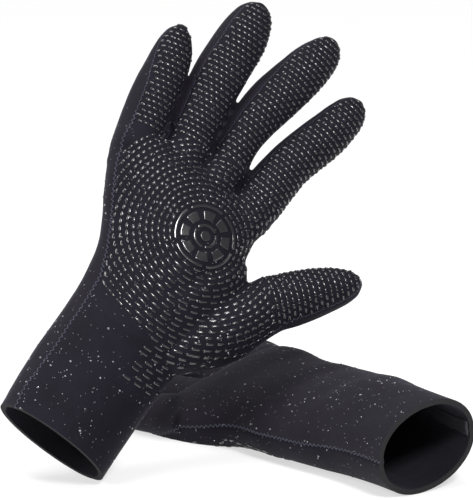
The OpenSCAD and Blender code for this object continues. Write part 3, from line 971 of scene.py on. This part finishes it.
def seamPiece(glove, name, panel):
    used = sorted({i for e in panel["seam"] for i in e})
    index = {old: new for new, old in enumerate(used)}
    edges = [(index[a], index[b]) for a, b in panel["seam"]]
    mesh = bpy.data.meshes.new(name)
    lift = panel["co"][used] + panel["normal"][used] * 0.05
    mesh.from_pydata([tuple(v) for v in onTable(toWorld(glove, lift))], edges, [])
    piece = addObject(name, mesh)
    addVectors(piece, "outward", panel["normal"][used] @ glove["axes"])
    return piece


def sewSeams(glove, panels):
    side = glove["side"]
    for name, panel in panels.items():
        piece = seamPiece(glove, f"{side}_{name}_stitches", panel)
        big = name == "hand"
        runTree(piece, stitches, sewing["hand" if big else "finger"], thread)
        attach(piece, glove, name)
        if big:
            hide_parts(side + "_outer_seam", side + "_thumb_side_seam")
        else:
            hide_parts(f"{side}_{name}_seam")


tape = {"width": 10, "thickness": 0.4, "gap": 0.08, "reach": 150, "step": 3}


def layTape(glove, tree):  # a flat strip under the inner face, along both long seams
    vertices, faces = [], []
    across = 6
    for outer in (True, False):
        first = len(vertices)
        rows = 0
        for y in np.arange(1.5, tape["reach"], tape["step"]):
            x = -120 if outer else 120
            height = seamHeight(glove, "hand", np.array([[x * 0.3, y, 0]]))[0]
            hit, _ = drop(tree, (x, y, height), (-np.sign(x), 0, 0))
            height = seamHeight(glove, "hand", hit[None])[0]
            hit, normal = drop(tree, (x, y, height), (-np.sign(x), 0, 0))
            sideways = unit(np.cross(normal, (0, 1, 0)))
            for k in range(across + 1):
                point = hit + sideways * tape["width"] * (k / across - 0.5)
                close, facing, _, _ = tree.find_nearest(Vector(point))
                vertices.append(np.array(close) - np.array(facing) * (fabric["wall"] + tape["gap"]))
            rows += 1
        for i in range(rows - 1):
            for k in range(across):
                a = first + i * (across + 1) + k
                faces.append((a, a + 1, a + across + 2, a + across + 1))
    name = glove["side"] + "_tape"
    points = toWorld(glove, vertices)
    points[:, 2] = np.maximum(points[:, 2], (fabric["wall"] + fabric["clearance"] + tape["gap"]) * mm)
    piece = addObject(name, meshFrom(name, points, faces))
    solid = piece.modifiers.new("thickness", "SOLIDIFY")
    solid.thickness = tape["thickness"] * mm
    solid.offset = 0
    settled(piece)
    outwards(piece)
    piece.data.materials.append(tapeRubber)
    shadeSmooth(piece)
    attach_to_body(piece, glove["side"] + "_hand")
    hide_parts(glove["side"] + "_seam_tape")


wet = {"density": 18000.0, "seed": 3}


def wetFabric(glove, panel):  # drops on both faces of the hand
    number = sides.index(glove["side"])
    for part, front in (("palm", True), ("back", False)):
        piece = addObject(f"{glove['side']}_{part}_beads", panelMesh(glove, panel, front, "beads"))
        sizes = {"Density": wet["density"], "Seed": wet["seed"] + 2 * number + int(front)}
        runTree(piece, beads, sizes, paintedGlintWater)
        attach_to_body(piece, glove["side"] + "_hand")


def makeGlove(side):
    glove = placeFingers(gloveFrame(side))
    raw = rawGlove(glove)
    shapeCloth(glove, raw.data)
    bm = bmesh.new()
    bm.from_mesh(raw.data)
    tree = BVHTree.FromBMesh(bm)
    bm.free()
    panels = cutPanels(glove, raw.data)
    print(side, "glove shaped:", len(raw.data.vertices), "points")
    bpy.data.objects.remove(raw)
    for name, panel in panels.items():
        for front in (True, False):
            kind = ("palm" if front else "back") if name == "hand" else ("front" if front else "back")
            label = f"{side}_{kind}_fabric" if name == "hand" else f"{side}_{name}_{kind}_fabric"
            piece = addObject(label, panelMesh(glove, panel, front, label))
            finishPanel(piece, [palmCloth if front else backClothWithPaintedLight, liningCloth, foamEdge])
            attach(piece, glove, name)
            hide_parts(f"{side}_{kind}_panel" if name == "hand" else f"{side}_{name}_{kind}")
    print(side, "panels finished")
    printGrip(glove, tree)
    makeBadge(glove, tree)
    sewSeams(glove, panels)
    layTape(glove, tree)
    wetFabric(glove, panels["hand"])
    print(side, "print, stitches, tape and beads made")
    return glove


gloves = {side: makeGlove(side) for side in sides}

# ---- floor, light and camera
floorSize = 6
corners = [(x * floorSize, y * floorSize, 0) for x, y in ((-1, -1), (1, -1), (1, 1), (-1, 1))]
floorMesh = meshFrom("floor", corners, [(0, 1, 2, 3)])
floor = addObject("floor", floorMesh)
floorPaint, floorNodes, floorLinks, floorSurface = newMaterial("white_floor")
setInputs(floorSurface, {"Base Color": (0.9, 0.9, 0.9, 1), "Roughness": 0.9})
glow = addNode(floorNodes, "ShaderNodeEmission", Strength=1.12)
rays = addNode(floorNodes, "ShaderNodeLightPath")
mix = addNode(floorNodes, "ShaderNodeMixShader")
seen = rays.outputs["Is Camera Ray"]
for ray in ("Is Transmission Ray", "Is Glossy Ray"):
    seen = mathNode(floorPaint.node_tree, "MAXIMUM", seen, rays.outputs[ray])
floorLinks.new(mathNode(floorPaint.node_tree, "MULTIPLY", seen, 0.55), mix.inputs[0])
floorLinks.new(floorSurface.outputs[0], mix.inputs[1])
floorLinks.new(glow.outputs[0], mix.inputs[2])
floorLinks.new(mix.outputs[0], floorNodes["Material Output"].inputs["Surface"])
floorMesh.materials.append(floorPaint)

world = bpy.data.worlds.new("studio")
bpy.context.scene.world = world
world.use_nodes = True
worldNodes, worldLinks = world.node_tree.nodes, world.node_tree.links
backdrop = worldNodes["Background"]
setInputs(backdrop, {"Color": (1, 1, 1, 1)})
worldRays = addNode(worldNodes, "ShaderNodeLightPath")
direct = addNode(worldNodes, "ShaderNodeMapRange")
setInputs(direct, {"To Min": 0.3, "To Max": 1.0})
worldLinks.new(worldRays.outputs["Is Camera Ray"], direct.inputs["Value"])
worldLinks.new(direct.outputs[0], backdrop.inputs["Strength"])


def softbox(name, place, aim, size, power):
    light = bpy.data.lights.new(name, "AREA")
    light.shape = "RECTANGLE"
    light.size, light.size_y = size
    light.energy = power
    lamp = addObject(name, light)
    lamp.location = place
    lamp.rotation_euler = (Vector(aim) - Vector(place)).to_track_quat("-Z", "Y").to_euler()


centre = (0, 0, 0.11)
softbox("keyLight", (0.44, -0.95, 1.1), centre, (0.34, 0.34), 17)
softbox("sideLight", (-1.2, -0.35, 0.85), centre, (0.5, 0.5), 8)
sky = bpy.data.lights.new("skyLight", "SUN")
sky.energy = 1.9
sky.angle = math.radians(40)
skyLamp = addObject("skyLight", sky)
skyLamp.rotation_euler = Vector((-0.22, 0.12, 1)).to_track_quat("Z", "Y").to_euler()

view = {"elevation": 12, "distance": 1.325, "lens": 180, "target": (0.0007, -0.1051, 0.130)}
cameraData = bpy.data.cameras.new("camera")
cameraData.lens = view["lens"]
cameraData.sensor_width = 36
cameraData.clip_end = 50
camera = addObject("camera", cameraData)
up = math.radians(view["elevation"])
camera.location = Vector(view["target"]) + view["distance"] * Vector((0, -math.cos(up), math.sin(up)))
camera.rotation_euler = (math.pi / 2 - up, 0, 0)
bpy.context.scene.camera = camera
bpy.context.scene.view_settings.view_transform = "Standard"
print("stage set")
